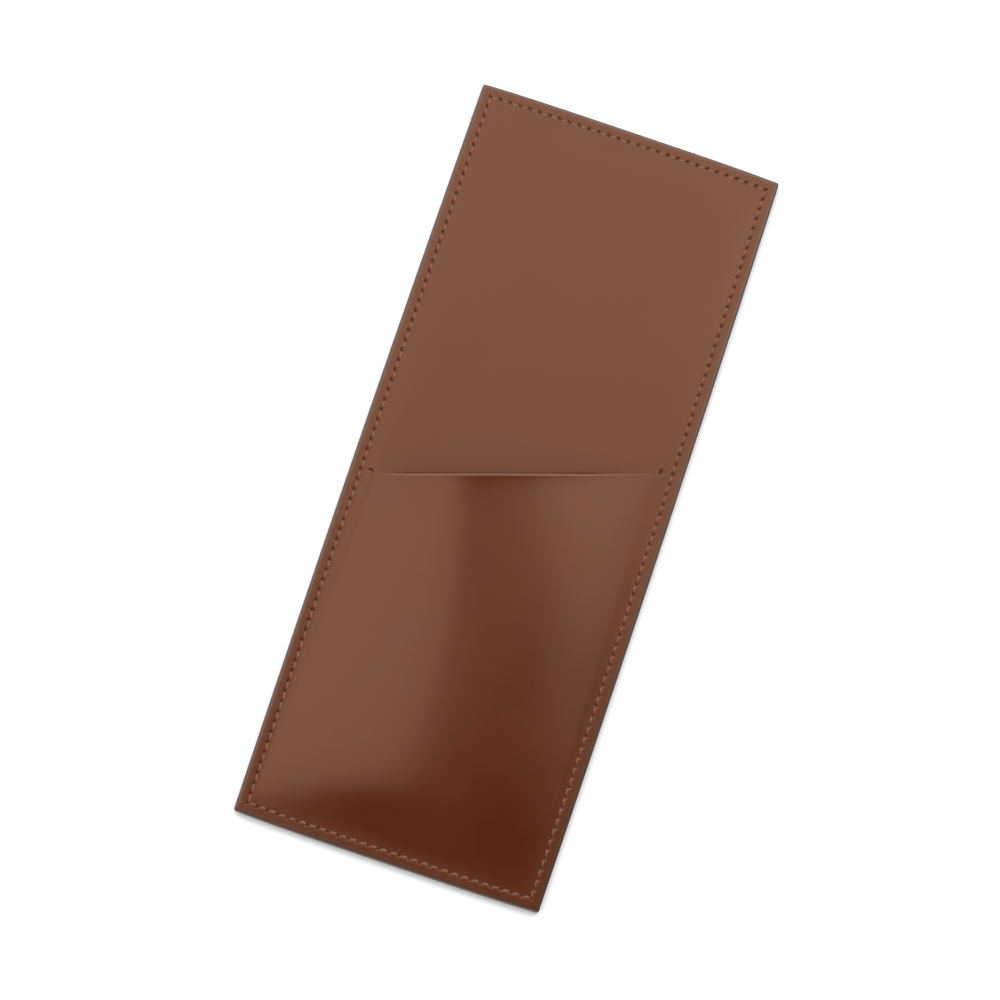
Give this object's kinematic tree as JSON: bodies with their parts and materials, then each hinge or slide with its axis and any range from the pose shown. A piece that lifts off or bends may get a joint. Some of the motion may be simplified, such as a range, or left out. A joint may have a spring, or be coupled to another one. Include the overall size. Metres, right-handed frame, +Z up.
{
  "type": "leather pen case",
  "caption": "Flat leather pen sleeve: two panels sewn together all round, with a slanted slit in the front one that opens into a pocket for pens.",
  "frame": {"origin": "middle of the back face, on the surface that the case lies on", "axes": "+X to the right across the case, +Y from the pocket's floor to the top edge, +Z up out of the front"},
  "size_m": [0.081, 0.198, 0.0086],
  "materials": {
    "front_leather": "smooth semi-gloss grain side, burnished edges",
    "back_leather": "smooth semi-gloss grain side, flesh side inside the pocket",
    "thread": "waxed sewing thread, a shade lighter than the leather"
  },
  "bodies": {
    "root": {"front_panel": "front_leather", "back_panel": "back_leather", "needle_thread": "thread", "bobbin_thread": "thread", "mouth_tacks": "thread"}
  },
  "joints": []
}
